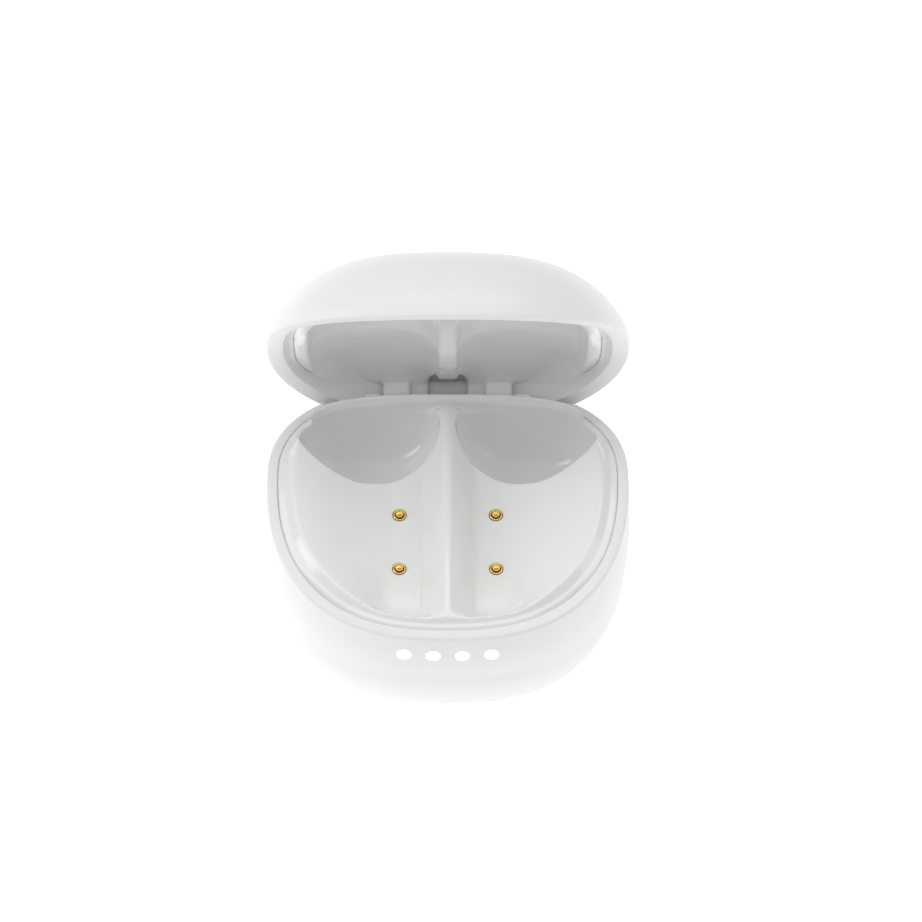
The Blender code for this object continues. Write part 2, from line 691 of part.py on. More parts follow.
def make_electronics(mats):
    board = box("main_board", (-BOARD_HALF_WIDTH, BOARD_HALF_WIDTH), BOARD_Y, BOARD_Z)
    for x, y in SCREW_POINTS:
        cut(board, cylinder("board_hole", (x, y, 5.0), (0, 0, 1), 10.0, 0.8, 16))
    finish(board, "main_board", mats["green"])
    for index, (x, y) in enumerate(SCREW_POINTS, start=1):
        screw = cylinder("screw", (x, y, 5.2), (0, 0, 1), BOARD_Z[1] + 0.5 - 5.2, 0.5, 14)
        join(screw, cylinder("screw_head", (x, y, BOARD_Z[1] + 0.2), (0, 0, 1), 0.9, 1.4, 18))
        cut(screw, box("slot", (x - 0.9, x + 0.9), (y - 0.15, y + 0.15), (BOARD_Z[1] + 0.75, 20)))
        cut(screw, box("slot", (x - 0.15, x + 0.15), (y - 0.9, y + 0.9), (BOARD_Z[1] + 0.75, 20)))
        finish(screw, "board_screw_%d" % index, mats["steel"])
    charger = box("charge_chip", (-3.0, 2.0), (-9.0, -4.0), (BOARD_Z[1] + 0.1, BOARD_Z[1] + 1.0))
    finish(charger, "charge_chip", mats["black"])
    coil = cylinder("power_coil", (8.0, -6.0, BOARD_Z[1] + 0.1), (0, 0, 1), 1.8, 2.2, 20)
    finish(coil, "power_coil", mats["black"])
    battery = box("battery", (-BATTERY_HALF_WIDTH, BATTERY_HALF_WIDTH), BATTERY_Y, BATTERY_Z)
    bevel = battery.modifiers.new("round_edges", "BEVEL")
    bevel.width = 1.2 * MM
    bevel.segments = 2
    finish(battery, "battery", mats["foil"])
    pad = box("battery_pad", (-12.0, 12.0), (-9.0, 7.0), (2.1, 2.7))
    finish(pad, "battery_pad", mats["foam"])
    socket = usb_form("usb_socket", 0.0, USB_Y)
    cut(socket, usb_form("usb_mouth", -0.3, (USB_Y[0] + 1.0, 30.0)))
    finish(socket, "usb_socket", mats["steel"])
    middle = (USB_Z[0] + USB_Z[1]) / 2
    tongue = box("usb_tongue", (-3.2, 3.2), (USB_Y[0] + 1.1, USB_Y[1] - 0.9), (middle - 0.35, middle + 0.35))
    finish(tongue, "usb_tongue", mats["black"])


def arc_path(points, samples=4):
    """Smooth path through the points by Catmull-Rom interpolation."""
    knots = [Vector(points[0])] + [Vector(p) for p in points] + [Vector(points[-1])]
    path = []
    for a, b, c, d in zip(knots, knots[1:], knots[2:], knots[3:]):
        for i in range(samples):
            t = i / samples
            path.append(0.5 * (2 * b + (c - a) * t + (2 * a - 5 * b + 4 * c - d) * t ** 2
                               + (3 * b - a - 3 * c + d) * t ** 3))
    path.append(Vector(points[-1]))
    return path


def make_ribbon(name, points, half_width, mat, x=0.0):
    """Flat flexible strip along a path in the YZ plane."""
    path = arc_path([(x, y, z) for y, z in points], 5)
    half = 0.11
    rings = []
    for i, point in enumerate(path):
        ahead = path[min(i + 1, len(path) - 1)] - path[max(i - 1, 0)]
        normal = Vector((0, -ahead.z, ahead.y)).normalized() * half
        across = Vector((half_width, 0, 0))
        rings.append([point - across - normal, point + across - normal,
                      point + across + normal, point - across + normal])
    finish(loft(name, rings), name, mat)


def make_wiring(mats):
    for side, tag in ((-1, "black"), (1, "red")):
        route = ((side * 1.6, BATTERY_Y[0] - 0.4, 6.5), (side * 1.7, -16.5, 6.2), (side * 1.9, -19.2, 8.0),
                 (side * 2.0, -19.6, 10.6), (side * 2.0, -18.6, 12.2), (side * 2.0, -16.6, 12.0))
        make_tube("battery_lead_" + tag, arc_path(route, 3), 0.45, mats[tag])
    make_ribbon("pin_ribbon", ((-6.5, 20.65), (-4.5, 20.95), (-2.4, 20.9), (-1.2, 19.4), (-1.3, 17.0),
                               (-2.0, 14.5), (-1.3, 12.3), (0.6, 11.4), (2.0, 11.35)), 3.0,
                mats["amber"])
    make_ribbon("light_ribbon", ((-27.55, 19.5), (-27.4, 17.6), (-25.4, 14.0), (-21.5, 12.0),
                                 (-17.6, 11.4), (-15.6, 11.35)), 2.5, mats["amber"], -7.5)


def make_magnets(steel):
    for side, tag in ((-1, "left"), (1, "right")):
        finish(magnet_form("m", side, LID_MAGNET_Z, 0.0), "lid_magnet_" + tag, steel)
        finish(magnet_form("m", side, BASE_MAGNET_Z, 0.0), "base_magnet_" + tag, steel)
        x, y, z = POCKET_CENTRE
        low = z - POCKET_RADII[2] - TRAY_WALL - GAP
        disc = cylinder("m", (side * x, y, low - 1.8), (0, 0, 1), 1.8, 3.0, 24)
        finish(disc, "bud_magnet_" + tag, steel)


# ---------------------------------------------------------------- assembly

LID_PARTS = ("lid_shell", "lid_liner", "lid_magnet_left", "lid_magnet_right")


def open_lid():
    """Hang the lid's parts on an empty on the hinge axis and turn it open."""
    hinge = bpy.data.objects.new("lid_hinge_axis", None)
    bpy.context.scene.collection.objects.link(hinge)
    axis_point = Vector((0, HINGE_Y, HINGE_Z)) * MM
    for name in LID_PARTS:
        ob = bpy.data.objects[name]
        ob.data.transform(Matrix.Translation(-axis_point))
        ob.parent = hinge
    hinge.location = axis_point
    hinge.rotation_euler = (-LID_OPEN, 0, 0)
    return hinge


def build():
    for ob in list(bpy.data.objects):
        bpy.data.objects.remove(ob)
    bpy.context.scene.unit_settings.scale_length = 1.0
    mats = {
        "white": material("satin_white", (0.86, 0.86, 0.85), 0.42),
        "gloss": material("gloss_white", (0.84, 0.84, 0.83), 0.16),
        "gold": material("gold_plate", (0.86, 0.64, 0.30), 0.25, 1.0),
        "steel": material("steel", (0.62, 0.62, 0.62), 0.3, 1.0),
        "clear": material("milky_clear", (0.95, 0.96, 0.97), 0.2),
        "green": material("board_green", (0.03, 0.22, 0.10), 0.5),
        "black": material("black_plastic", (0.02, 0.02, 0.02), 0.45),
        "red": material("red_wire", (0.55, 0.03, 0.03), 0.5),
        "yellow": material("led_yellow", (0.85, 0.75, 0.35), 0.4),
        "foil": material("battery_foil", (0.55, 0.57, 0.60), 0.35, 0.6),
        "foam": material("grey_foam", (0.25, 0.25, 0.25), 0.9),
        "amber": material("amber_film", (0.60, 0.32, 0.06), 0.35),
    }
    make_base_shell(mats["white"])
    make_tray(mats["gloss"])
    make_lid_shell(mats["white"])
    make_liner(mats["gloss"])
    make_hinge(mats["steel"])
    make_pins(mats["gold"], mats["steel"])
    make_pin_board(mats["green"])
    make_lights(mats["clear"], mats["green"], mats["yellow"], mats["black"])
    make_electronics(mats)
    make_wiring(mats)
    make_magnets(mats["steel"])
    open_lid()
    collection = bpy.data.collections.new(OBJECT_NAME)
    bpy.context.scene.collection.children.link(collection)
    for ob in list(bpy.context.scene.collection.objects):
        bpy.context.scene.collection.objects.unlink(ob)
        collection.objects.link(ob)


build()
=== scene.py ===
import json
import math
import bmesh
import bpy
import numpy as np
from mathutils import Matrix, Vector


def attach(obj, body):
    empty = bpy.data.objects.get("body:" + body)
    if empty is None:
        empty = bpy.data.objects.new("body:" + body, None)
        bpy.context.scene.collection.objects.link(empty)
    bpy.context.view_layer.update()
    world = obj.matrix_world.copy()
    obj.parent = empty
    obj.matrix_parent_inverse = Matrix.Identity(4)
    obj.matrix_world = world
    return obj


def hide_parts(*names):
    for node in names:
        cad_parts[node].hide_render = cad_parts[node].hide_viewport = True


# Shapes are made in millimetres and scaled to metres when they are finished.
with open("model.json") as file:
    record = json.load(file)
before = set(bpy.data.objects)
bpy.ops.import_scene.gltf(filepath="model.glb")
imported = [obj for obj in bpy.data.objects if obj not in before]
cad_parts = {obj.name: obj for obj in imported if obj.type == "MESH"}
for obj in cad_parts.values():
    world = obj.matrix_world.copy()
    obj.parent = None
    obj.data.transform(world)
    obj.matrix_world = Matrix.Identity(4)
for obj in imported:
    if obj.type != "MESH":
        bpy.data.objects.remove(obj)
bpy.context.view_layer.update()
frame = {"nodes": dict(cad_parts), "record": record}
print("frame loaded")


# outline and height rules that every moulded piece shares
caseShape = {
    "halfWidth": 30.0,
    "front": 30.6,
    "back": 24.1,
    "frontPower": 2.55,
    "backPower": 2.2,
    "sideRim": 31.1,       # height of the parting line at the sides
    "frontDip": 5.05,
    "backDip": 4.7,
    "dipPower": 1.6,
    "bulge": 0.38,
    "hingeY": 17.5,
    "hingeZ": 28.9,
    "eyeRadius": 1.4,        # hinge eyes and the bore for the pin through them
    "pinBore": 0.62,
    "trayRise": 0.7,         # top of the tray above the side rim, and how it falls to the front
    "trayDip": 4.4,
    "trayReach": 28.5,
    "trayBack": 17.0,
    "trayBackRise": 0.3,
    "lidOpen": math.radians(69.7),
    "ringPoints": 240,
}


def halfSuperellipse(angles, halfWidth, front, back, frontPower, backPower):
    c, s = np.cos(angles), np.sin(angles)
    power = np.where(s < 0, frontPower, backPower)
    reach = np.where(s < 0, front, back)
    x = np.sign(c) * halfWidth * np.abs(c) ** (2 / power)
    y = np.sign(s) * reach * np.abs(s) ** (2 / power)
    return np.stack([x, y], axis=1)


def evenAngles(count, halfWidth, front, back, frontPower, backPower):
    # angles whose points are evenly spaced round the outline
    dense = np.linspace(0, 2 * math.pi, 8001)
    points = halfSuperellipse(dense, halfWidth, front, back, frontPower, backPower)
    run = np.concatenate([[0], np.cumsum(np.linalg.norm(np.diff(points, axis=0), axis=1))])
    return np.interp((np.arange(count) + 0.5) / count * run[-1], run, dense)


s0 = caseShape
ringAngles = evenAngles(s0["ringPoints"], s0["halfWidth"], s0["front"], s0["back"],
                        s0["frontPower"], s0["backPower"])


def caseOutline(inset):
    return halfSuperellipse(ringAngles, s0["halfWidth"] - inset, s0["front"] - inset,
                            s0["back"] - inset, s0["frontPower"], s0["backPower"])


def partingHeight(y):
    y = np.asarray(y, float)
    frontDrop = s0["frontDip"] * (np.clip(-y, 0, None) / s0["front"]) ** s0["dipPower"]
    backDrop = s0["backDip"] * (np.clip(y, 0, None) / s0["back"]) ** s0["dipPower"]
    return s0["sideRim"] - frontDrop - backDrop


def backEdge(x, inset=0.0):
    ratio = np.clip(np.abs(x) / (s0["halfWidth"] - inset), 0, 1)
    return (s0["back"] - inset) * (1 - ratio ** s0["backPower"]) ** (1 / s0["backPower"])


def ease(t):
    t = np.clip(t, 0, 1)
    return t * t * (3 - 2 * t)


# mesh helpers
def meshObject(name, bm):
    bmesh.ops.recalc_face_normals(bm, faces=bm.faces)
    mesh = bpy.data.meshes.new(name)
    bm.to_mesh(mesh)
    bm.free()
    ob = bpy.data.objects.new(name, mesh)
    bpy.context.scene.collection.objects.link(ob)
    return ob


def ring(outline, height):
    z = height(outline[:, 1]) if callable(height) else height
    return np.column_stack([outline, np.broadcast_to(z, len(outline))])


def loftRings(name, rings, tube=False):
    # skin through the rings; a tube joins the last ring to the first
    bm = bmesh.new()
    rows = [[bm.verts.new(p) for p in r.tolist()] for r in rings]
    pairs = list(zip(rows, rows[1:]))
    if tube:
        pairs.append((rows[-1], rows[0]))
    for lower, upper in pairs:
        count = len(lower)
        for i in range(count):
            j = (i + 1) % count
            bm.faces.new((lower[i], lower[j], upper[j], upper[i]))
    if not tube:
        bm.faces.new(rows[0][::-1])
        bm.faces.new(rows[-1])
    return meshObject(name, bm)


def prismOf(name, section, low, high):
    # section is (x, z) pairs, run along Y
    section = np.asarray(section, float)
    return loftRings(name, [np.column_stack([section[:, 0], np.full(len(section), y), section[:, 1]])
                            for y in (low, high)])


def blockOf(name, xs, ys, zs):
    bm = bmesh.new()
    bmesh.ops.create_cube(bm, size=1.0)
    bmesh.ops.scale(bm, vec=[high - low for low, high in (xs, ys, zs)], verts=bm.verts)
    middle = [(low + high) / 2 for low, high in (xs, ys, zs)]
    bmesh.ops.translate(bm, vec=middle, verts=bm.verts)
    return meshObject(name, bm)


def lathe(name, profile, start, axis, sides=48):
    # (distance along the axis, radius) pairs turned about the axis, with closed ends
    bm = bmesh.new()
    rows = []
    for along, radius in profile:
        rows.append([bm.verts.new((radius * math.cos(2 * math.pi * i / sides),
                                   radius * math.sin(2 * math.pi * i / sides), along))
                     for i in range(sides)])
    for lower, upper in zip(rows, rows[1:]):
        for i in range(sides):
            j = (i + 1) % sides
            bm.faces.new((lower[i], lower[j], upper[j], upper[i]))
    bm.faces.new(rows[0][::-1])
    bm.faces.new(rows[-1])
    turn = Vector((0, 0, 1)).rotation_difference(Vector(axis).normalized()).to_matrix().to_4x4()
    bmesh.ops.transform(bm, matrix=Matrix.Translation(Vector(start)) @ turn, verts=bm.verts)
    return meshObject(name, bm)


def applyModifiers(ob):
    depsgraph = bpy.context.evaluated_depsgraph_get()
    mesh = bpy.data.meshes.new_from_object(ob.evaluated_get(depsgraph))
    ob.modifiers.clear()
    old = ob.data
    ob.data = mesh
    bpy.data.meshes.remove(old)
    return ob


def boolean(target, tool, operation="DIFFERENCE"):
    step = target.modifiers.new("boolean", "BOOLEAN")
    step.operation = operation
    step.solver = "EXACT"
    step.object = tool
    applyModifiers(target)
    bpy.data.objects.remove(tool)
    return target


def gather(name, parts):
    # several closed meshes in one object, for a remesh or as one cutter
    bm = bmesh.new()
    for part in parts:
        bm.from_mesh(part.data)
        bpy.data.objects.remove(part)
    mesh = bpy.data.meshes.new(name)
    bm.to_mesh(mesh)
    bm.free()
    ob = bpy.data.objects.new(name, mesh)
    bpy.context.scene.collection.objects.link(ob)
    return ob


def remould(ob, voxel, rounds):
    # one skin over everything in the object, with softened edges like a moulded part
    skin = ob.modifiers.new("skin", "REMESH")
    skin.mode = "VOXEL"
    skin.voxel_size = voxel
    soften = ob.modifiers.new("soften", "SMOOTH")
    soften.factor = 0.5
    soften.iterations = rounds
    return applyModifiers(ob)


def finishPiece(ob, name, mat, body, nodes, edge=35.0, opened=False):
    ob.name = name
    ob.data.name = name
    ob.data.materials.clear()
    ob.data.materials.append(mat)
    move = Matrix.Identity(4)
    if opened:
        axis = Matrix.Translation((0, s0["hingeY"], s0["hingeZ"]))
        move = axis @ Matrix.Rotation(-s0["lidOpen"], 4, "X") @ axis.inverted()
    ob.data.transform(Matrix.Scale(0.001, 4) @ move)
    ob.data.shade_smooth()
    ob.data.set_sharp_from_angle(angle=math.radians(edge))
    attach(ob, body)
    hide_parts(*nodes)
    print(name, len(ob.data.polygons), "faces")
    return ob


# shader groups
def newGroup(name, inputs, outputs):
    tree = bpy.data.node_groups.new(name, "ShaderNodeTree")
    for label, kind, value in inputs:
        socket = tree.interface.new_socket(name=label, in_out="INPUT", socket_type=kind)
        socket.default_value = value
    for label, kind in outputs:
        tree.interface.new_socket(name=label, in_out="OUTPUT", socket_type=kind)
    return tree, tree.nodes.new("NodeGroupInput"), tree.nodes.new("NodeGroupOutput")


def addNode(tree, kind, **settings):
    node = tree.nodes.new(kind)
    for key, value in settings.items():
        setattr(node, key, value)
    return node


def makeMouldGroup():
    # slow drift of colour and gloss that a moulded plastic has, with a fine grain
    tree, ins, outs = newGroup("mouldedPlastic", [
        ("Light", "NodeSocketColor", (0.9, 0.9, 0.9, 1)),
        ("Shade", "NodeSocketColor", (0.85, 0.85, 0.85, 1)),
        ("Drift Scale", "NodeSocketFloat", 60.0),
        ("Grain Scale", "NodeSocketFloat", 4000.0),
        ("Smooth", "NodeSocketFloat", 0.3),
        ("Rough", "NodeSocketFloat", 0.4),
    ], [("Colour", "NodeSocketColor"), ("Roughness", "NodeSocketFloat"), ("Height", "NodeSocketFloat")])
    place = addNode(tree, "ShaderNodeTexCoord")
    drift = addNode(tree, "ShaderNodeTexNoise")
    drift.inputs["Detail"].default_value = 3
    grain = addNode(tree, "ShaderNodeTexNoise")
    grain.inputs["Detail"].default_value = 2
    colour = addNode(tree, "ShaderNodeMix", data_type="RGBA")
    rough = addNode(tree, "ShaderNodeMapRange")
    link = tree.links.new
    for tex, scale in ((drift, "Drift Scale"), (grain, "Grain Scale")):
        link(place.outputs["Object"], tex.inputs["Vector"])
        link(ins.outputs[scale], tex.inputs["Scale"])
    link(drift.outputs["Fac"], colour.inputs["Factor"])
    link(ins.outputs["Light"], colour.inputs["A"])
    link(ins.outputs["Shade"], colour.inputs["B"])
    link(drift.outputs["Fac"], rough.inputs["Value"])
    link(ins.outputs["Smooth"], rough.inputs["To Min"])
    link(ins.outputs["Rough"], rough.inputs["To Max"])
    link(colour.outputs["Result"], outs.inputs["Colour"])
    link(rough.outputs["Result"], outs.inputs["Roughness"])
    link(grain.outputs["Fac"], outs.inputs["Height"])
    return tree


def makeMetalGroup():
    # turning marks and handling haze on plated and bare metal
    tree, ins, outs = newGroup("workedMetal", [
        ("Bright", "NodeSocketColor", (0.9, 0.7, 0.3, 1)),
        ("Dull", "NodeSocketColor", (0.7, 0.5, 0.2, 1)),
        ("Mark Scale", "NodeSocketFloat", 2500.0),
        ("Smooth", "NodeSocketFloat", 0.15),
        ("Rough", "NodeSocketFloat", 0.35),
    ], [("Colour", "NodeSocketColor"), ("Roughness", "NodeSocketFloat"), ("Height", "NodeSocketFloat")])
    place = addNode(tree, "ShaderNodeTexCoord")
    stretch = addNode(tree, "ShaderNodeMapping")
    stretch.inputs["Scale"].default_value = (0.25, 0.25, 1.6)
    marks = addNode(tree, "ShaderNodeTexNoise")
    marks.inputs["Detail"].default_value = 5
    haze = addNode(tree, "ShaderNodeTexNoise")
    haze.inputs["Scale"].default_value = 350
    colour = addNode(tree, "ShaderNodeMix", data_type="RGBA")
    rough = addNode(tree, "ShaderNodeMapRange")
    link = tree.links.new
    link(place.outputs["Object"], stretch.inputs["Vector"])
    link(stretch.outputs["Vector"], marks.inputs["Vector"])
    link(ins.outputs["Mark Scale"], marks.inputs["Scale"])
    link(place.outputs["Object"], haze.inputs["Vector"])
    link(haze.outputs["Fac"], colour.inputs["Factor"])
    link(ins.outputs["Bright"], colour.inputs["A"])
    link(ins.outputs["Dull"], colour.inputs["B"])
    link(marks.outputs["Fac"], rough.inputs["Value"])
    link(ins.outputs["Smooth"], rough.inputs["To Min"])
    link(ins.outputs["Rough"], rough.inputs["To Max"])
    link(colour.outputs["Result"], outs.inputs["Colour"])
    link(rough.outputs["Result"], outs.inputs["Roughness"])
    link(marks.outputs["Fac"], outs.inputs["Height"])
    return tree


mouldGroup = makeMouldGroup()
metalGroup = makeMetalGroup()


def groupedMaterial(name, group, settings, bump, distance, metallic=0.0, extras=None):
    mat = bpy.data.materials.new(name)
    mat.use_nodes = True
    tree = mat.node_tree
    shader = tree.nodes["Principled BSDF"]
    effect = addNode(tree, "ShaderNodeGroup", node_tree=group)
    for key, value in settings.items():
        effect.inputs[key].default_value = value
    relief = addNode(tree, "ShaderNodeBump")
    relief.inputs["Strength"].default_value = bump
    relief.inputs["Distance"].default_value = distance
    link = tree.links.new
    link(effect.outputs["Colour"], shader.inputs["Base Color"])
    link(effect.outputs["Roughness"], shader.inputs["Roughness"])
    link(effect.outputs["Height"], relief.inputs["Height"])
    link(relief.outputs["Normal"], shader.inputs["Normal"])
    shader.inputs["Metallic"].default_value = metallic
    for key, value in (extras or {}).items():
        shader.inputs[key].default_value = value
    return mat


def plastic(name, light, shade, smooth, rough, drift=60.0, grain=4000.0, bump=0.1, **extras):
    settings = {"Light": (*light, 1), "Shade": (*shade, 1), "Drift Scale": drift,
                "Grain Scale": grain, "Smooth": smooth, "Rough": rough}
    return groupedMaterial(name, mouldGroup, settings, bump, 0.00002,
                           extras={k.replace("_", " "): v for k, v in extras.items()})


def metal(name, bright, dull, smooth, rough, marks=2500.0, bump=0.15):
    settings = {"Bright": (*bright, 1), "Dull": (*dull, 1), "Mark Scale": marks,
                "Smooth": smooth, "Rough": rough}
    return groupedMaterial(name, metalGroup, settings, bump, 0.00001, metallic=1.0)


shellWhite = plastic("satinShellWhite", (0.87, 0.87, 0.865), (0.85, 0.85, 0.845), 0.34, 0.42, bump=0.08)
insertWhite = plastic("polishedInsertWhite", (0.875, 0.875, 0.87), (0.86, 0.86, 0.855), 0.10, 0.15,
                      drift=45.0, bump=0.02, Coat_Weight=0.3, Coat_Roughness=0.06)
pinGold = metal("pinGold", (0.95, 0.70, 0.28), (0.84, 0.56, 0.18), 0.14, 0.28)
springSteel = metal("springSteel", (0.66, 0.66, 0.67), (0.50, 0.50, 0.51), 0.22, 0.42)
# milky windows with a painted glow: a white emission makes them shine, though they are not lamps
windowMilkPaintedGlow = plastic("windowMilkPaintedGlow", (0.97, 0.975, 0.98), (0.93, 0.94, 0.95), 0.14, 0.2, grain=2500.0,
                     Emission_Strength=0.55, Emission_Color=(1, 1, 1, 1))
boardGreen = plastic("boardGreen", (0.02, 0.20, 0.08), (0.03, 0.13, 0.06), 0.3, 0.5, drift=700.0, bump=0.3)
partBlack = plastic("partBlack", (0.03, 0.03, 0.032), (0.015, 0.015, 0.016), 0.35, 0.55, drift=400.0)
wireRed = plastic("wireRed", (0.55, 0.03, 0.03), (0.42, 0.02, 0.02), 0.35, 0.5, drift=300.0)
lightResin = plastic("lightResin", (0.88, 0.78, 0.36), (0.78, 0.66, 0.25), 0.2, 0.35, drift=900.0)
pouchFoil = metal("pouchFoil", (0.68, 0.70, 0.73), (0.52, 0.54, 0.57), 0.28, 0.5, marks=500.0, bump=0.3)
greyFoam = plastic("greyFoam", (0.27, 0.27, 0.27), (0.17, 0.17, 0.17), 0.8, 0.95, drift=900.0, bump=0.7)
amberFilm = plastic("amberFilm", (0.62, 0.33, 0.06), (0.50, 0.24, 0.04), 0.22, 0.35, drift=250.0)
print("materials made")


# finishes for the CAD nodes that are shown as they are
slotFinish = {
    "satin_white": shellWhite,
    "gloss_white": insertWhite,
    "gold_plate": pinGold,
    "steel": springSteel,
    "milky_clear": windowMilkPaintedGlow,
    "board_green": boardGreen,
    "black_plastic": partBlack,
    "red_wire": wireRed,
    "led_yellow": lightResin,
    "battery_foil": pouchFoil,
    "grey_foam": greyFoam,
    "amber_film": amberFilm,
}
for entry in frame["record"]["subparts"]:
    node = frame["nodes"][entry["node"]]
    node.data.materials.clear()
    node.data.materials.append(slotFinish[entry["material_slot"]])


# hinge space: the room that the lid's tail turns in
def hingeBarrel(name, margin):
    reach = 1 / math.cos(s0["lidOpen"] / 2)
    xs = np.linspace(-21.0 - margin, 21.0 + margin, 45)
    radii = np.clip(backEdge(xs, -s0["bulge"]) - s0["hingeY"], 0, None) * reach + margin
    turn = np.linspace(0, 2 * math.pi, 97)[:-1]
    rings = []
    for x, radius in zip(xs, radii):
        rings.append(np.column_stack([np.full(len(turn), x), s0["hingeY"] + radius * np.cos(turn),
                                      s0["hingeZ"] + radius * np.sin(turn)]))
    return loftRings(name, rings)


# base shell
baseSettings = {
    "wall": 1.8,
    "bottomInset": 9.06,
    "bottomRound": 15.7,
    "bottomPower": 1.8,
    "outerEdge": 0.45,       # rounding of the rim
    "innerEdge": 0.3,
    "windowXs": (-7.14, -2.38, 2.38, 7.14),
    "windowZ": 22.1,
    "windowRadius": 1.22,
    "screwXs": (-17.6, 17.6),
    "screwYs": (-15.4, 9.5),
    "bossRadius": 2.0,
    "bossSpan": (1.6, 8.1),  # foot and length
    "threadRadius": 0.8,
    "wellMargin": 1.5,       # wall behind the notch that hides the inside
    "wellFront": 14.5,
    "wellTop": 24.0,
    "notchMargin": 0.4,
    "socketZ": (11.3, 14.6),
    "socketHalf": 4.5,
}


def bottomRings(wall, steps):
    b = baseSettings
    rings = []
    for angle in np.linspace(0, math.pi / 2, steps + 1):
        inset = wall + (b["bottomInset"] - 0.35 * wall) * (1 - math.sin(angle) ** (2 / b["bottomPower"]))
        height = wall + (b["bottomRound"] - wall) * (1 - math.cos(angle) ** (2 / b["bottomPower"]))
        rings.append(ring(caseOutline(inset), height))
    return rings


def slotForm(name, grow, low, high):
    b = baseSettings
    half = (b["socketZ"][1] - b["socketZ"][0]) / 2 + grow
    middle = (b["socketZ"][0] + b["socketZ"][1]) / 2
    reach = b["socketHalf"] + grow - half
    section = []
    for side, first in ((1, -90.0), (-1, 90.0)):
        for i in range(17):
            angle = math.radians(first + 180.0 * i / 16)
            section.append((side * reach + half * math.cos(angle), middle + half * math.sin(angle)))
    return prismOf(name, section, low, high)


def makeBaseShell():
    b = baseSettings
    rings = bottomRings(0.0, 26)
    for part in np.linspace(0, 1, 17)[1:]:
        inset = -s0["bulge"] * math.sin(math.pi * part)
        rings.append(ring(caseOutline(inset), lambda y, part=part:
                          b["bottomRound"] + part * (partingHeight(y) - b["outerEdge"] - b["bottomRound"])))
    for angle in np.linspace(0, math.pi / 2, 7)[1:]:
        inset = b["outerEdge"] * (1 - math.cos(angle))
        rings.append(ring(caseOutline(inset), lambda y, angle=angle:
                          partingHeight(y) - b["outerEdge"] * (1 - math.sin(angle))))
    for angle in np.linspace(math.pi / 2, 0, 5):
        inset = b["wall"] - b["innerEdge"] * (1 - math.cos(angle))
        rings.append(ring(caseOutline(inset), lambda y, angle=angle:
                          partingHeight(y) - b["innerEdge"] * (1 - math.sin(angle))))
    for part in (0.7, 0.35):
        rings.append(ring(caseOutline(b["wall"]), lambda y, part=part:
                          b["bottomRound"] + part * (partingHeight(y) - b["bottomRound"])))
    rings += bottomRings(b["wall"], 10)[::-1]
    shell = loftRings("baseShell", rings)
    well = hingeBarrel("well", b["wellMargin"])
    boolean(well, loftRings("inside", [ring(caseOutline(1.5), z) for z in (5.0, b["wellTop"])]), "INTERSECT")
    boolean(well, blockOf("wellFront", (-40, 40), (-40, b["wellFront"]), (0, 60)))
    boolean(shell, well, "UNION")
    foot, length = b["bossSpan"]
    screws = [(x, y) for x in b["screwXs"] for y in b["screwYs"]]
    for x, y in screws:
        boss = lathe("boss", [(0, b["bossRadius"]), (length, b["bossRadius"])], (x, y, foot), (0, 0, 1))
        boolean(shell, boss, "UNION")
    radius = b["windowRadius"]
    cutters = [lathe("window", [(0, radius), (14, radius)], (x, -40, b["windowZ"]), (0, 1, 0))
               for x in b["windowXs"]]
    cutters.append(slotForm("slot", 0.3, 18.0, 30.0))
    radius = b["threadRadius"]
    cutters += [lathe("thread", [(0, radius), (8, radius)], (x, y, 4.5), (0, 0, 1), 24) for x, y in screws]
    boolean(shell, gather("cutters", cutters))
    boolean(shell, hingeBarrel("notch", b["notchMargin"]))
    return finishPiece(shell, "baseShellSkin", shellWhite, "base", ["base_shell"])


makeBaseShell()


# lid shell
lidSettings = {
    "wall": 1.8,
    "gap": 0.3,
    "rise": 9.3,
    "crown": 1.2,
    "inset": 9.8,
    "power": 1.6,
    "straight": 2.35,
    "outerEdge": 0.4,
    "innerEdge": 0.25,
    "rimWidth": 2.4,
    "lip": 0.3,              # the inner edge hangs lower at the front
    "linerHalf": 25.5,
    "linerFront": 26.1,
    "linerBack": 19.8,
    "linerBackPower": 3.0,
    "linerRise": 1.5,
    "seam": 0.05,            # open line between the flange and the liner
}
linerAngles = evenAngles(s0["ringPoints"], lidSettings["linerHalf"], lidSettings["linerFront"],
                         lidSettings["linerBack"], s0["frontPower"], lidSettings["linerBackPower"])


def linerOutline(inset):
    k = lidSettings
    return halfSuperellipse(linerAngles, k["linerHalf"] - inset, k["linerFront"] - inset,
                            k["linerBack"] - inset, s0["frontPower"], k["linerBackPower"])


def trayRimHeight(y):
    y = np.asarray(y, float)
    fall = s0["trayDip"] * (np.clip(-y, 0, None) / s0["trayReach"]) ** s0["dipPower"]
    climb = s0["trayBackRise"] * np.clip(y, 0, None) / s0["trayBack"]
    return s0["sideRim"] + s0["trayRise"] - fall + climb


def frontLip(y):
    # how far round to the front a point is, for the lid's lip and the room under it
    return ease((-np.asarray(y, float) - 14) / 12)


def linerFace(y):
    return np.maximum(partingHeight(y) + lidSettings["linerRise"], trayRimHeight(y) + 0.4)


def lidDome(wall, steps):
    # rings from the shoulder to the crown
    k = lidSettings
    top = s0["sideRim"] + k["rise"] - wall
    rings = []
    for angle in np.linspace(0, math.pi / 2, steps + 1):
        inset = wall + (k["inset"] - 0.35 * wall) * (1 - math.cos(angle) ** (2 / k["power"]))
        part = math.sin(angle) ** (2 / k["power"])
        crown = k["crown"] * (1 - (1 - inset / s0["halfWidth"]) ** 2)

        def height(y, part=part, crown=crown):
            low = np.maximum(partingHeight(y) + k["gap"] + 0.7, s0["sideRim"] - k["straight"])
            return low + part * (top - low) + crown
        rings.append(ring(caseOutline(inset), height))
    for inset in (12.0, 14.5, 17.0, 19.5, 21.5, 23.2):
        crown = k["crown"] * (1 - (1 - inset / s0["halfWidth"]) ** 2)
        rings.append(ring(caseOutline(inset), top + crown))
    return rings


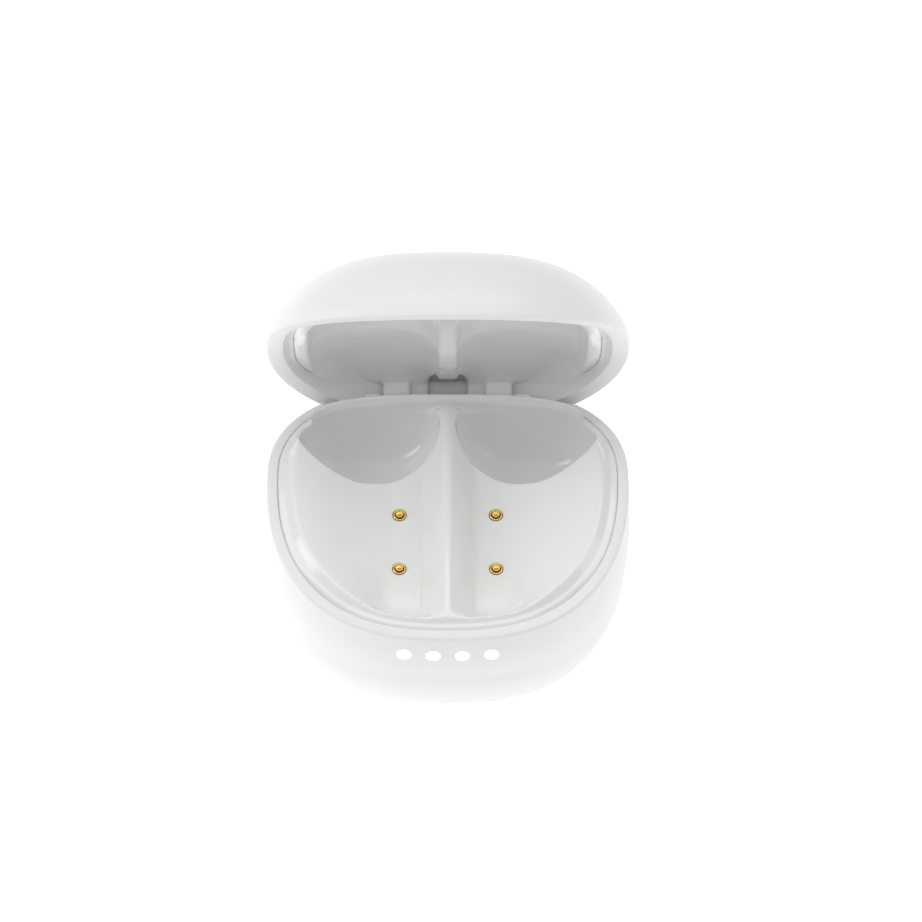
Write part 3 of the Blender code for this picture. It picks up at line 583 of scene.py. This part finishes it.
def makeTail():
    inset = -s0["bulge"] * 0.55
    rings = [ring(caseOutline(inset), z) for z in (20.0, 33.0)]
    rings += [ring(caseOutline(inset + 1.5), z) for z in (33.0, 20.0)]
    tail = loftRings("tail", rings, tube=True)
    boolean(tail, hingeBarrel("tailLimit", 0.1), "INTERSECT")
    ys = np.linspace(-40, 40, 161)
    lid = np.column_stack([ys, partingHeight(ys) + lidSettings["gap"] + 1.2])
    section = np.vstack([lid, [(40, 60), (-40, 60)]])
    above = loftRings("above", [np.column_stack([np.full(len(section), x), section]) for x in (-40, 40)])
    boolean(tail, above)
    xs = np.linspace(-22, 22, 45)
    drop = math.tan(s0["lidOpen"] / 2) * np.clip(backEdge(xs, -s0["bulge"]) - s0["hingeY"], 0, None)
    edge = np.vstack([[(22.0, 0.0), (-22.0, 0.0)], np.column_stack([xs, s0["hingeZ"] - drop])])
    boolean(tail, prismOf("tailEdge", edge, 0.0, 40.0))
    return boolean(tail, blockOf("tailFront", (-40, 40), (-40, s0["hingeY"] - 0.9), (0, 60)))


def makeLidShell():
    k = lidSettings
    rim = lambda y: partingHeight(y) + k["gap"]
    rings = lidDome(0.0, 34)[::-1]
    for angle in np.linspace(0, math.pi / 2, 7):
        inset = k["outerEdge"] * (1 - math.cos(angle))
        rings.append(ring(caseOutline(inset), lambda y, angle=angle:
                          rim(y) + k["outerEdge"] * (1 - math.sin(angle))))
    rings.append(ring(caseOutline(1.3), rim))
    for part in np.linspace(0.2, 1, 5):
        inset = 1.9 + (k["rimWidth"] + 0.4 - 1.9) * part
        rings.append(ring(caseOutline(inset), lambda y, part=part:
                          rim(y) - k["lip"] * frontLip(y) * ease(0.3 + 0.7 * part) + 0.1 * part))
    # sloping flange down to the seam, then back out to the hollow of the dome
    flangeEnd = linerOutline(-k["seam"])
    start = caseOutline(k["rimWidth"] + 0.55)
    startHeight = rim(start[:, 1]) + k["innerEdge"] - k["lip"] * frontLip(start[:, 1])
    endHeight = linerFace(flangeEnd[:, 1])
    for t in np.linspace(0.08, 1, 9):
        xy = start * (1 - t) + flangeEnd * t
        z = startHeight * (1 - t) + endHeight * t + 0.25 * math.sin(math.pi * t)
        rings.append(np.column_stack([xy, z]))
    rings.append(np.column_stack([flangeEnd, endHeight + 0.9]))
    outer = caseOutline(k["wall"] + 0.2)
    rings.append(np.column_stack([outer, np.maximum(rim(outer[:, 1]) + 1.9, s0["sideRim"] + 0.2)]))
    rings += lidDome(k["wall"], 14)[2:]
    shell = loftRings("lidShell", rings)
    boolean(shell, makeTail(), "UNION")
    return finishPiece(shell, "lidShellSkin", shellWhite, "lid", ["lid_shell"], opened=True)


makeLidShell()


# tray: a glossy insert with two deep pockets, two broad scoops for the stems and a ridge between
traySettings = {
    "inset": 1.79,
    "backPower": 3.2,
    "skirt": 6.5,
    "thickness": 1.7,
    "floorRear": -5.0,            # floor of the scoop below the side rim at the rear pins
    "floorSlope": math.tan(math.radians(8.0)),
    "floorInner": 4.45,
    "floorOuter": 9.2,
    "floorFront": -22.0,
    "ridgeTop": 0.5,
    "ridgeHalf": 0.5,
    "crestSide": 3.0,             # width of the bevelled band at the sides and at the front
    "crestFront": 1.3,
    "bevelDrop": 0.85,
    "frontDrop": 1.3,             # the front edge drops away to clear the lid's lip
    "pocketDepth": 11.4,
    "pinHole": 1.2,
    "eyeSpans": ((-14, -11.2), (-6.0, 6.0), (11.2, 14)),
    "roomSpan": (6.0, 11.2),      # room for the lid's eyes between them
    "roomRadius": 1.6,
    "lidClearance": 0.4,
    "pocketMiddle": (-13.2, 8.8),
    "pocketOutline": ((-24.9, 9.0), (-22.6, 12.5), (-16.5, 15.1), (-8.3, 16.0), (-3.9, 15.7), (-1.8, 13.9),
                      (-1.35, 11.0), (-2.2, 7.6), (-4.6, 4.5), (-8.0, 2.0), (-12.0, 0.9), (-16.6, 1.0),
                      (-20.8, 2.9), (-24.0, 5.9)),
    "voxel": 0.24,
}


def trayOutline(inset):
    k = traySettings
    points = caseOutline(k["inset"] + inset)
    ratio = np.clip(np.abs(points[:, 0]) / (s0["halfWidth"] - k["inset"] + 1.2 - inset), 0, 1)
    limit = (s0["trayBack"] - inset) * (1 - ratio ** k["backPower"]) ** (1 / k["backPower"])
    points[:, 1] = np.minimum(points[:, 1], limit)
    return points


def edgeDistance(points, outline):
    # distance from each point to the outline, in blocks to save memory
    dense = np.vstack([outline + (np.roll(outline, -1, 0) - outline) * t for t in (0, 0.25, 0.5, 0.75)])
    found = [np.sqrt(((block[:, None] - dense[None]) ** 2).sum(2)).min(1)
             for block in np.array_split(points, 60)]
    return np.concatenate(found)


def traySurface(points, distance):
    k = traySettings
    x, y = np.abs(points[:, 0]), points[:, 1]
    rim = trayRimHeight(y)
    side = ease((x / 27.9 - 0.42) / 0.4)
    crest = k["crestFront"] + (k["crestSide"] - k["crestFront"]) * side * ease((14 - y) / 8)
    crest = np.where(y > 12, np.minimum(crest, 1.1), crest)
    bevel = k["bevelDrop"] * (0.45 + 0.55 * side) * np.clip(1 - distance / crest, 0, 1) ** 1.8
    bevel = bevel + k["frontDrop"] * frontLip(y) * ease(1 - distance / 2.2)
    floor = s0["sideRim"] + k["floorRear"] + k["floorSlope"] * (y + 4.6)
    away = np.hypot(np.clip(x - k["floorOuter"], 0, None), np.clip(k["floorFront"] - y, 0, None))
    inside = np.clip(distance - crest, 0, None)
    t = inside / (inside + away + 1e-6)
    t = np.where(inside <= 0, 0, t)
    ahead = ease((-y - 13) / 8) * ease((15 - x) / 6)
    sink = (0.5 * t + 0.5 * ease(t)) * (1 - ahead) + ease(1 - (1 - t) ** 1.8) * ahead
    surface = rim * (1 - sink) + floor * sink
    ridge = rim - k["ridgeTop"]
    rise = np.clip((k["floorInner"] - x) / (k["floorInner"] - k["ridgeHalf"]), 0, 1)
    rise = (0.75 * rise + 0.25 * ease(rise)) * ease((distance - 0.8) / 2.0)
    surface = surface + np.clip(ridge - surface, 0, None) * rise
    return surface - bevel


def polarSheet(name, outline, surface, thickness, rows=84):
    # sheet over an outline: a fan of rings from the middle, with a parallel underside
    centre = np.array([0.0, -4.0])
    parts = np.linspace(0.012, 1, rows) ** 0.9
    flat = np.vstack([centre + (outline - centre) * p for p in parts])
    heights = surface(flat)
    count = len(outline)
    rings = [np.column_stack([flat[i * count:(i + 1) * count], heights[i * count:(i + 1) * count]])
             for i in range(rows)]
    under = [r - np.array([0, 0, thickness]) for r in rings]
    return loftRings(name, rings + under[::-1])


def smoothLoop(knots, steps):
    # closed Catmull-Rom curve through the knots
    knots = np.asarray(knots, float)
    a, b, c, d = (np.roll(knots, n, 0) for n in (1, 0, -1, -2))
    pieces = []
    for t in np.arange(steps) / steps:
        pieces.append(0.5 * (2 * b + (c - a) * t + (2 * a - 5 * b + 4 * c - d) * t ** 2
                             + (3 * b - a - 3 * c + d) * t ** 3))
    return np.stack(pieces, axis=1).reshape(-1, 2)


def pocketForm(name, side, grow):
    k = traySettings
    loop = smoothLoop(k["pocketOutline"], 10)
    middle = np.array(k["pocketMiddle"])
    spread = loop - middle
    length = np.linalg.norm(spread, axis=1, keepdims=True)
    bottom = s0["sideRim"] - k["pocketDepth"] - grow
    rings = []
    levels = [(s0["sideRim"] + up, 1.0) for up in (4.0, 1.0, 0.6, 0.2, -0.3, -1.0)]
    for angle in np.linspace(0.12, 1.0, 16) * math.pi / 2:
        levels.append((s0["sideRim"] - 1.0 - (s0["sideRim"] - 1.0 - bottom) * math.sin(angle),
                       max(0.04, math.cos(angle) ** 0.8)))
    for z, scale in levels:
        xy = middle + spread * (1 + grow / length) * scale
        lean = 0.09 * ease((s0["sideRim"] + 0.8 - z) / 1.2)
        xy[:, 1] -= lean * np.clip(xy[:, 1] - middle[1], 0, None)
        rings.append(np.column_stack([xy[:, 0] * -side, xy[:, 1], np.full(len(xy), z)]))
    return loftRings(name, rings)


def knuckle(name, x0, x1, radius=s0["eyeRadius"]):
    return lathe(name, [(0, radius), (x1 - x0, radius)], (x0, s0["hingeY"], s0["hingeZ"]), (1, 0, 0))


pinPlaces = {
    "slope": math.radians(8.0),
    "side": 8.0,
    "rearY": -4.6,
    "rearDrop": 5.0,
    "step": 10.3,
}


def pinFrames():
    # point on the scoop floor and outward axis of each charging pin
    k = pinPlaces
    slope = k["slope"]
    outward = Vector((0, -math.sin(slope), math.cos(slope)))
    along = Vector((0, -math.cos(slope), -math.sin(slope)))
    for side, first in ((-1, "left"), (1, "right")):
        for step, second in ((0, "rear"), (1, "front")):
            rear = Vector((side * k["side"], k["rearY"], s0["sideRim"] - k["rearDrop"]))
            point = rear + along * (k["step"] * step)
            yield first + "_" + second, point, outward


def lidRoom(clearance):
    # space left for the tray under the shut lid
    k = lidSettings
    low = lambda y: partingHeight(y) + k["gap"] - clearance - k["lip"] * frontLip(y)
    end = linerOutline(0.3)
    rings = [ring(caseOutline(1.5), 5.0)]
    rings += [ring(caseOutline(inset), low) for inset in (1.5, 2.2, k["rimWidth"] + 0.75)]
    rings += [ring(end, lambda y: linerFace(y) - clearance), ring(end, 45.0)]
    return loftRings("lidRoom", rings)


def makeTray():
    k = traySettings
    voxel = k["voxel"]
    outline = trayOutline(0.0)
    surface = lambda points: traySurface(points, edgeDistance(points, outline))
    sheet = polarSheet("sheet", outline, surface, k["thickness"])
    low = s0["sideRim"] - k["skirt"]
    inner = trayOutline(1.4)
    top = surface(outline) - 0.3
    skirt = loftRings("skirt", [ring(outline, low), np.column_stack([outline, top]),
                                np.column_stack([inner, top]), ring(inner, low)], tube=True)
    boolean(skirt, blockOf("tailRoom", (-23, 23), (13.2, 40), (0, s0["hingeZ"] - 1.6)))
    bowls = [pocketForm("bowl", side, 1.2) for side in (-1, 1)]
    for bowl in bowls:
        boolean(bowl, polarSheet("under", outline, lambda points: surface(points) - 0.4, 24.0), "INTERSECT")
    eyes = [knuckle("eye", *span) for span in k["eyeSpans"]]
    tray = gather("tray", [sheet, skirt, *bowls, *eyes])
    remould(tray, voxel * 1.25, 0)
    boolean(tray, lidRoom(k["lidClearance"]), "INTERSECT")
    for side in (-1, 1):
        boolean(tray, pocketForm("pocket", side, 0.0))
        low, high = sorted((side * k["roomSpan"][0], side * k["roomSpan"][1]))
        boolean(tray, knuckle("room", low, high, k["roomRadius"]))
    remould(tray, voxel, 6)
    cutters = [knuckle("bore", -20, 20, s0["pinBore"])]
    radius = k["pinHole"]
    cutters += [lathe("hole", [(0, radius), (8, radius)], point - axis * 4, axis, 40)
                for _, point, axis in pinFrames()]
    boolean(tray, gather("cutters", cutters))
    return finishPiece(tray, "trayInsert", insertWhite, "base", ["tray"], edge=50)


makeTray()


# lid liner
linerSettings = {
    "border": 2.4,           # flat band inside the seam
    "wallRun": 7.0,
    "ribHalf": 1.5,
    "ribRun": 7.0,
    "recessDepth": 4.8,
    "eyeSpan": (6.3, 10.9),  # the lid's two eyes, and the arms up from them
    "armBack": 19.4,
    "armHeight": 3.9,
    "apronSpan": (0.4, 33.2),
    "gapSteps": ((16.6, 2.0), (17.6, 2.7), (18.4, 3.2), (24.0, 3.2)),
    "backStretch": 1.4,      # the recesses run out gently under the hinge
    "backEnd": 19.2,
    "backRun": 10.0,
    "voxel": 0.26,
}


def linerSurface(points):
    k = linerSettings
    x, y = np.abs(points[:, 0]), points[:, 1]
    reach = linerOutline(0.0)
    reach[:, 1] = np.where(reach[:, 1] > 0, reach[:, 1] * k["backStretch"], reach[:, 1])
    distance = edgeDistance(points, reach)
    wall = np.clip((distance - k["border"]) / k["wallRun"], 0, 1)
    ribWall = np.clip((x - k["ribHalf"]) / k["ribRun"], 0, 1)
    round1 = np.sqrt(1 - (1 - wall) ** 2)
    round2 = np.sqrt(1 - (1 - ribWall) ** 2)
    back = np.clip((k["backEnd"] - y) / k["backRun"], 0, 1)
    return linerFace(y) + k["recessDepth"] * round1 * round2 * back * (2 - back)


def lidEye(side):
    k = linerSettings
    section = []
    for angle in np.radians(np.linspace(84.0, 334.0, 41)):
        section.append((s0["hingeY"] + s0["eyeRadius"] * math.cos(angle),
                        s0["hingeZ"] + s0["eyeRadius"] * math.sin(angle)))
    back, top = k["armBack"], s0["hingeZ"] + k["armHeight"]
    section += [(back, section[-1][1]), (back, top), (section[0][0], top)]
    section = np.array(section)
    ends = sorted((side * k["eyeSpan"][0], side * k["eyeSpan"][1]))
    return loftRings("lidEye", [np.column_stack([np.full(len(section), x), section]) for x in ends])


def makeLiner():
    k = linerSettings
    voxel = k["voxel"]
    outline = linerOutline(-0.1)
    sheet = polarSheet("sheet", outline, linerSurface, -1.3)
    low, high = s0["hingeZ"] + k["apronSpan"][0], k["apronSpan"][1]
    apron = loftRings("apron", [ring(linerOutline(0.1), low), ring(linerOutline(0.1), high),
                                ring(linerOutline(0.6), high), ring(linerOutline(0.6), low)], tube=True)
    reach = k["eyeSpan"][1]
    boolean(apron, blockOf("apronRoom", (-reach, reach), (14, 30), (0, 60)), "INTERSECT")
    liner = gather("liner", [sheet, apron] + [lidEye(side) for side in (-1, 1)])
    remould(liner, voxel * 1.2, 0)
    rings = []
    for y, half in k["gapSteps"]:
        rings.append(np.array([(-half, y, 20.0), (half, y, 20.0), (half, y, 45.0), (-half, y, 45.0)]))
    boolean(liner, loftRings("footGap", rings))
    remould(liner, voxel, 6)
    boolean(liner, knuckle("bore", -20, 20, s0["pinBore"]))
    return finishPiece(liner, "lidLinerSkin", insertWhite, "lid", ["lid_liner"],
                       edge=50, opened=True)


makeLiner()


# charging pins: a cup with a rolled lip and a domed plunger in it
pinSettings = {
    "cupRadius": 1.08,
    "cupBore": 0.78,
    "cupDepth": 3.6,
    "lip": 0.2,
    "plungerRadius": 0.66,
    "stand": 0.95,
    "dome": 0.55,
    "plungerFoot": -0.75,
}


def makePins():
    k = pinSettings
    for tag, point, axis in pinFrames():
        lipMiddle = (k["cupRadius"] + k["cupBore"]) / 2
        lipHalf = (k["cupRadius"] - k["cupBore"]) / 2
        profile = [(-k["cupDepth"], 0.05), (-k["cupDepth"], k["cupRadius"])]
        for angle in np.linspace(0, math.pi, 9):
            profile.append((k["lip"] - lipHalf + lipHalf * math.sin(angle),
                            lipMiddle + lipHalf * math.cos(angle)))
        profile += [(-k["cupDepth"] + 0.5, k["cupBore"]), (-k["cupDepth"] + 0.5, 0.05)]
        cup = lathe("cup", profile, point, axis)
        finishPiece(cup, "pinCup_" + tag, pinGold, "base", ["pin_barrel_" + tag])
        profile = [(k["plungerFoot"], 0.04), (k["plungerFoot"], k["plungerRadius"])]
        for angle in np.linspace(0, math.pi / 2, 9)[:-1]:
            profile.append((k["stand"] - k["dome"] + k["dome"] * math.sin(angle),
                            k["plungerRadius"] * math.cos(angle)))
        profile.append((k["stand"], 0.03))
        tip = lathe("tip", profile, point, axis)
        finishPiece(tip, "pinTip_" + tag, pinGold, "pin_" + tag, ["pin_plunger_" + tag])


makePins()


# floor, lights and camera
stageSettings = {
    "floorGlow": 0.5,
    "world": 0.44,
    "top": 2.0,
    "left": 1.1,
    "right": 0.45,
    "elevation": 51.0,
    "distance": 0.9,
    "focal": 211.9,
    "shift": (0.0144, 0.0148),
}


def makeStage():
    k = stageSettings
    bm = bmesh.new()
    bmesh.ops.create_grid(bm, x_segments=2, y_segments=2, size=3.0)
    floor = meshObject("floor", bm)
    mat = bpy.data.materials.new("paleFloor")
    mat.use_nodes = True
    shader = mat.node_tree.nodes["Principled BSDF"]
    shader.inputs["Base Color"].default_value = (0.92, 0.92, 0.92, 1)
    shader.inputs["Roughness"].default_value = 0.9
    shader.inputs["Emission Color"].default_value = (1, 1, 1, 1)
    shader.inputs["Emission Strength"].default_value = k["floorGlow"]
    floor.data.materials.append(mat)
    world = bpy.data.worlds.new("studio")
    world.use_nodes = True
    background = world.node_tree.nodes["Background"]
    background.inputs["Color"].default_value = (1, 1, 1, 1)
    background.inputs["Strength"].default_value = k["world"]
    bpy.context.scene.world = world
    target = Vector((0, 0, 0.03))
    for name, place, size, power in (("topLight", (0.0, 0.12, 0.75), (0.7, 0.6), k["top"]),
                                     ("leftLight", (-0.55, -0.05, 0.38), (0.25, 0.5), k["left"]),
                                     ("rightLight", (0.55, -0.05, 0.42), (0.25, 0.5), k["right"])):
        lamp = bpy.data.lights.new(name, "AREA")
        lamp.shape = "RECTANGLE"
        lamp.size, lamp.size_y = size
        lamp.energy = power
        ob = bpy.data.objects.new(name, lamp)
        ob.location = place
        ob.rotation_euler = (Vector(place) - target).to_track_quat("Z", "Y").to_euler()
        bpy.context.scene.collection.objects.link(ob)
    angle = math.radians(k["elevation"])
    camera = bpy.data.cameras.new("camera")
    camera.lens = k["focal"]
    camera.sensor_width = 36.0
    camera.shift_x, camera.shift_y = k["shift"]
    camera.clip_start = 0.05
    ob = bpy.data.objects.new("camera", camera)
    aim = Vector((0, 0, s0["sideRim"] * 0.001))
    ob.location = aim + Vector((0, -math.cos(angle), math.sin(angle))) * k["distance"]
    ob.rotation_euler = (ob.location - aim).to_track_quat("Z", "Y").to_euler()
    bpy.context.scene.collection.objects.link(ob)
    bpy.context.scene.camera = ob
    bpy.context.scene.view_settings.view_transform = "Standard"


makeStage()
print("stage set")
